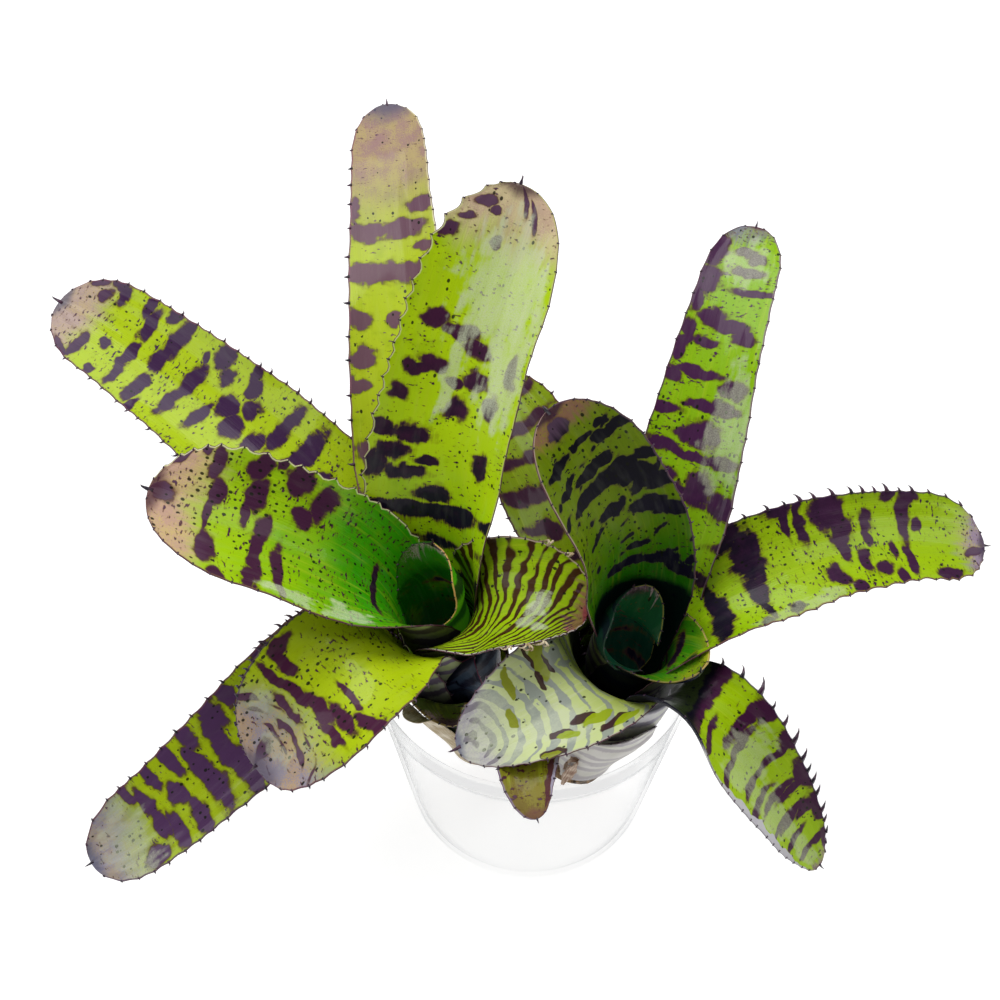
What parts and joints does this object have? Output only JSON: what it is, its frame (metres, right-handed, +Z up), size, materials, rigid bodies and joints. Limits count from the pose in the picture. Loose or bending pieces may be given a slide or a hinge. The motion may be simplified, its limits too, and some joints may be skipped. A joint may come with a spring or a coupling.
{
  "type": "neoregelia bromeliad in a clear cup",
  "caption": "Bromeliad of joined tank rosettes with broad, spotted and banded channelled leaves, standing bare-rooted in a clear round plastic cup with a rolled rim.",
  "frame": {"origin": "centre of the cup's flat underside", "axes": "+Z up, -Y to the front, +X to the right as seen from the front"},
  "size_m": [0.2703, 0.2031, 0.1781],
  "materials": {
    "clear_plastic": "clear, thin-walled, glossy",
    "leaf_green": "glossy yellow-green leaf with dark purple bands and specks",
    "leaf_banded": "glossy leaf with closely spaced dark bands",
    "leaf_silver": "scurfy silver-grey banded leaf",
    "leaf_withered": "dry, papery",
    "stem": "rough, fibrous"
  },
  "bodies": {
    "root": {"clear_cup": "clear_plastic", "rhizome_and_roots": "stem", "left_heart_leaf": "leaf_banded", "left_trough_leaf": "leaf_green", "left_short_leaf": "leaf_banded", "left_upright_leaf": "leaf_green", "left_front_leaf": "leaf_green", "left_small_right_leaf": "leaf_banded", "left_rear_left_leaf": "leaf_green", "left_rear_leaf": "leaf_green", "left_low_leaf": "leaf_green", "left_small_front_leaf": "leaf_banded", "left_withered_leaf": "leaf_withered", "right_heart_leaf": "leaf_banded", "right_upright_leaf": "leaf_green", "right_lip_leaf": "leaf_green", "right_side_leaf": "leaf_green", "right_front_leaf": "leaf_silver", "right_rear_leaf": "leaf_green", "right_drooping_leaf": "leaf_green", "right_rear_left_leaf": "leaf_green", "right_tucked_leaf": "leaf_banded", "right_pale_leaf": "leaf_silver", "right_withered_leaf": "leaf_withered"}
  },
  "joints": []
}
